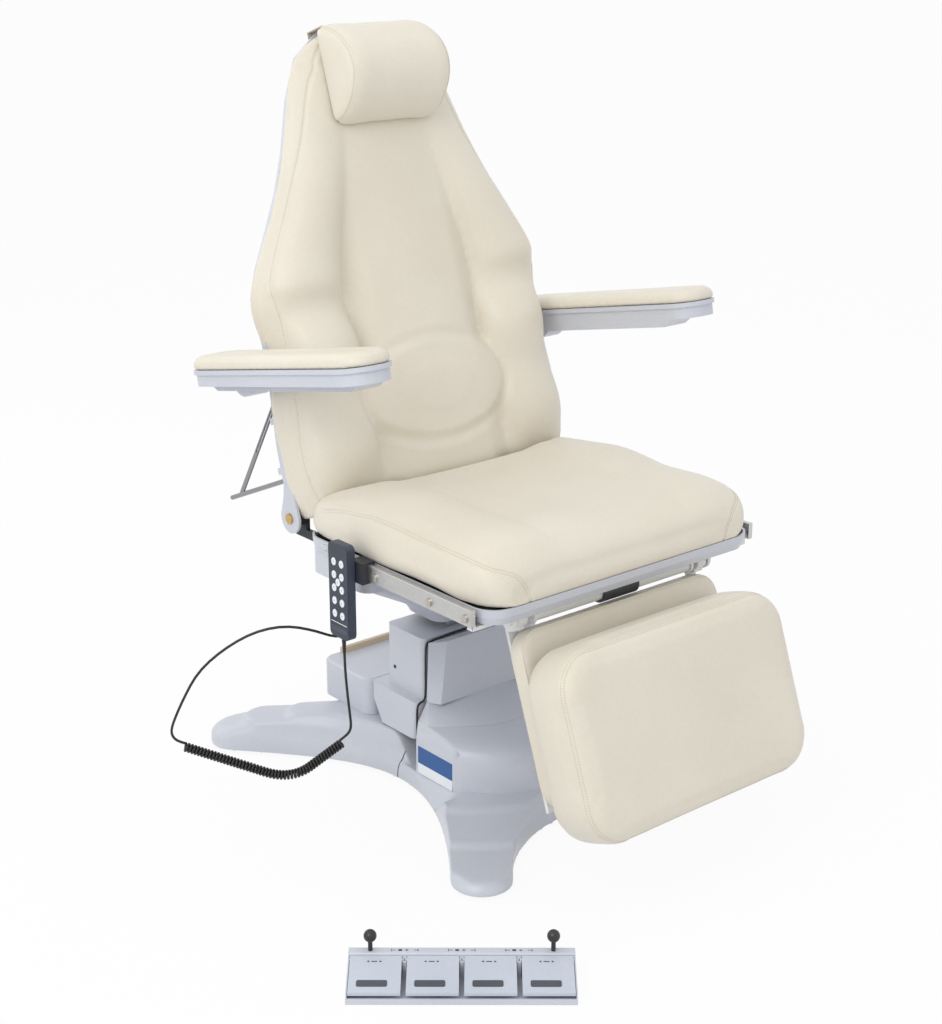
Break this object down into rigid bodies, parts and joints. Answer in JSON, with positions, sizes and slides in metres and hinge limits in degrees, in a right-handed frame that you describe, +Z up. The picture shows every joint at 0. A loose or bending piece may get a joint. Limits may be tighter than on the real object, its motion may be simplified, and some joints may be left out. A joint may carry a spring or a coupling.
{
  "type": "procedure chair",
  "caption": "Powered treatment chair on a four footed base with lift, tilt, recline, leg rest, armrests, handset on a curly cord and foot control",
  "frame": {"origin": "on the floor, on the middle plane of the chair, in front of the lift column", "axes": "+Z up, -Y the way the chair faces, +X towards the left hand of a seated person"},
  "size_m": [1.067, 1.1038, 1.3311],
  "materials": {
    "cover_plastic": "satin grey moulding",
    "upholstery": "cream upholstery with a soft grain",
    "frame_steel": "black powder coat",
    "bracket_white": "white powder coat",
    "column_metal": "drawn tube",
    "rail_steel": "brushed rail",
    "bolt_steel": "bright fasteners",
    "pivot_brass": "turned pin",
    "dark_chrome": "dark bright rod",
    "knob_black": "black ball on a stem",
    "drive_case": "black housing",
    "foot_rubber": "black rubber",
    "tan_strip": "tan strip",
    "webbing": "woven band",
    "handset_grey": "slate grey housing",
    "handset_blue": "dark slate face",
    "button_white": "white key",
    "cord_cover": "black cord",
    "control_grey": "pale grey housing",
    "pedal_face": "pale grey plate"
  },
  "bodies": {
    "base": {"base_frame": "frame_steel", "base_cover": "cover_plastic", "tower_cover": "cover_plastic", "rear_housing": "cover_plastic", "rear_strip": "tan_strip", "levelling_feet": "foot_rubber", "mains_inlet": "drive_case", "outer_column": "column_metal", "lift_actuator": "drive_case", "pedal_housing": "control_grey", "pedal_knobs": "knob_black"},
    "mid_stage": {"mid_cover": "cover_plastic", "middle_column": "column_metal"},
    "carriage": {"inner_column": "column_metal", "tilt_yoke": "frame_steel"},
    "seat": {"seat_frame": "frame_steel", "seat_tray": "cover_plastic", "seat_cushion": "upholstery", "side_rail_right": "rail_steel", "side_rail_left": "rail_steel", "rail_fasteners": "bolt_steel", "control_box": "drive_case", "leg_actuator": "drive_case", "handset_holder": "drive_case", "handset_case": "handset_grey", "handset_face": "handset_blue", "cord_lead": "cord_cover", "cord_curls": "cord_cover", "cord_tail": "cord_cover"},
    "back": {"back_frame": "frame_steel", "back_shell": "cover_plastic", "back_cushion": "upholstery", "recline_pins": "pivot_brass", "headrest_strap": "webbing"},
    "headrest": {"headrest_pillow": "upholstery"},
    "armrest_right": {"armrest_body_right": "cover_plastic", "armrest_pad_right": "upholstery"},
    "armrest_left": {"armrest_body_left": "cover_plastic", "armrest_pad_left": "upholstery"},
    "legrest": {"legrest_brackets": "bracket_white", "calf_pad": "upholstery"},
    "footrest": {"foot_slides": "frame_steel", "foot_pad": "upholstery"},
    "roll_holder_right": {"roll_arm_right": "dark_chrome"},
    "roll_holder_left": {"roll_arm_left": "dark_chrome"},
    "key_1": {"button_1": "button_white"},
    "key_2": {"button_2": "button_white"},
    "key_3": {"button_3": "button_white"},
    "key_4": {"button_4": "button_white"},
    "key_5": {"button_5": "button_white"},
    "key_6": {"button_6": "button_white"},
    "key_7": {"button_7": "button_white"},
    "key_8": {"button_8": "button_white"},
    "key_9": {"button_9": "button_white"},
    "key_10": {"button_10": "button_white"},
    "key_11": {"button_11": "button_white"},
    "treadle_1": {"pedal_1": "pedal_face"},
    "treadle_2": {"pedal_2": "pedal_face"},
    "treadle_3": {"pedal_3": "pedal_face"},
    "treadle_4": {"pedal_4": "pedal_face"}
  },
  "joints": [
    {"name": "lift", "type": "slide", "parent": "base", "child": "carriage", "axis": [0, 0, 1], "range_m": [0, 0.3]},
    {"name": "mid_lift", "type": "slide", "parent": "base", "child": "mid_stage", "axis": [0, 0, 1], "range_m": [0, 0.15]},
    {"name": "tilt", "type": "hinge", "parent": "carriage", "child": "seat", "pos_m": [0, 0.15, 0.36], "axis": [-1, 0, 0], "range_deg": [0, 20]},
    {"name": "recline", "type": "hinge", "parent": "seat", "child": "back", "pos_m": [0, 0.232, 0.512], "axis": [-1, 0, 0], "range_deg": [0, 72]},
    {"name": "leg_raise", "type": "hinge", "parent": "seat", "child": "legrest", "pos_m": [0, -0.257, 0.452], "axis": [-1, 0, 0], "range_deg": [0, 70]},
    {"name": "foot_extend", "type": "slide", "parent": "legrest", "child": "footrest", "axis": [0, -0.342, -0.9397], "range_m": [0, 0.1]},
    {"name": "headrest_slide", "type": "slide", "parent": "back", "child": "headrest", "axis": [0, -0.309, -0.9511], "range_m": [0, 0.08]},
    {"name": "armrest_right_raise", "type": "hinge", "parent": "back", "child": "armrest_right", "pos_m": [-0.318, 0.28371, 0.76511], "axis": [-1, 0, 0], "range_deg": [0, 90]},
    {"name": "armrest_left_raise", "type": "hinge", "parent": "back", "child": "armrest_left", "pos_m": [0.318, 0.28371, 0.76511], "axis": [-1, 0, 0], "range_deg": [0, 90]},
    {"name": "roll_holder_right_fold", "type": "hinge", "parent": "back", "child": "roll_holder_right", "pos_m": [-0.29, 0.264, 0.57069], "axis": [0, -0.2196, -0.9756], "range_deg": [0, 90]},
    {"name": "roll_holder_left_fold", "type": "hinge", "parent": "back", "child": "roll_holder_left", "pos_m": [0.29, 0.264, 0.57069], "axis": [0, 0.2196, 0.9756], "range_deg": [0, 90]},
    {"name": "key_1_press", "type": "slide", "parent": "seat", "child": "key_1", "axis": [1, 0, 0], "range_m": [0, 0.0008], "stiffness_N_per_m": 800, "springref_m": -0.0006},
    {"name": "key_2_press", "type": "slide", "parent": "seat", "child": "key_2", "axis": [1, 0, 0], "range_m": [0, 0.0008], "stiffness_N_per_m": 800, "springref_m": -0.0006},
    {"name": "key_3_press", "type": "slide", "parent": "seat", "child": "key_3", "axis": [1, 0, 0], "range_m": [0, 0.0008], "stiffness_N_per_m": 800, "springref_m": -0.0006},
    {"name": "key_4_press", "type": "slide", "parent": "seat", "child": "key_4", "axis": [1, 0, 0], "range_m": [0, 0.0008], "stiffness_N_per_m": 800, "springref_m": -0.0006},
    {"name": "key_5_press", "type": "slide", "parent": "seat", "child": "key_5", "axis": [1, 0, 0], "range_m": [0, 0.0008], "stiffness_N_per_m": 800, "springref_m": -0.0006},
    {"name": "key_6_press", "type": "slide", "parent": "seat", "child": "key_6", "axis": [1, 0, 0], "range_m": [0, 0.0008], "stiffness_N_per_m": 800, "springref_m": -0.0006},
    {"name": "key_7_press", "type": "slide", "parent": "seat", "child": "key_7", "axis": [1, 0, 0], "range_m": [0, 0.0008], "stiffness_N_per_m": 800, "springref_m": -0.0006},
    {"name": "key_8_press", "type": "slide", "parent": "seat", "child": "key_8", "axis": [1, 0, 0], "range_m": [0, 0.0008], "stiffness_N_per_m": 800, "springref_m": -0.0006},
    {"name": "key_9_press", "type": "slide", "parent": "seat", "child": "key_9", "axis": [1, 0, 0], "range_m": [0, 0.0008], "stiffness_N_per_m": 800, "springref_m": -0.0006},
    {"name": "key_10_press", "type": "slide", "parent": "seat", "child": "key_10", "axis": [1, 0, 0], "range_m": [0, 0.0008], "stiffness_N_per_m": 800, "springref_m": -0.0006},
    {"name": "key_11_press", "type": "slide", "parent": "seat", "child": "key_11", "axis": [1, 0, 0], "range_m": [0, 0.0008], "stiffness_N_per_m": 800, "springref_m": -0.0006},
    {"name": "treadle_1_press", "type": "hinge", "parent": "base", "child": "treadle_1", "pos_m": [-0.47643, -0.44431, 0.0285], "axis": [0.766, -0.6428, 0], "range_deg": [0, 5], "stiffness_Nm_per_rad": 1.5, "springref_deg": -6.88},
    {"name": "treadle_2_press", "type": "hinge", "parent": "base", "child": "treadle_2", "pos_m": [-0.47643, -0.44431, 0.0285], "axis": [0.766, -0.6428, 0], "range_deg": [0, 5], "stiffness_Nm_per_rad": 1.5, "springref_deg": -6.88},
    {"name": "treadle_3_press", "type": "hinge", "parent": "base", "child": "treadle_3", "pos_m": [-0.47643, -0.44431, 0.0285], "axis": [0.766, -0.6428, 0], "range_deg": [0, 5], "stiffness_Nm_per_rad": 1.5, "springref_deg": -6.88},
    {"name": "treadle_4_press", "type": "hinge", "parent": "base", "child": "treadle_4", "pos_m": [-0.47643, -0.44431, 0.0285], "axis": [0.766, -0.6428, 0], "range_deg": [0, 5], "stiffness_Nm_per_rad": 1.5, "springref_deg": -6.88}
  ],
  "couplings": [
    {"joint": "mid_lift", "follows": "lift", "ratio": 0.5}
  ]
}
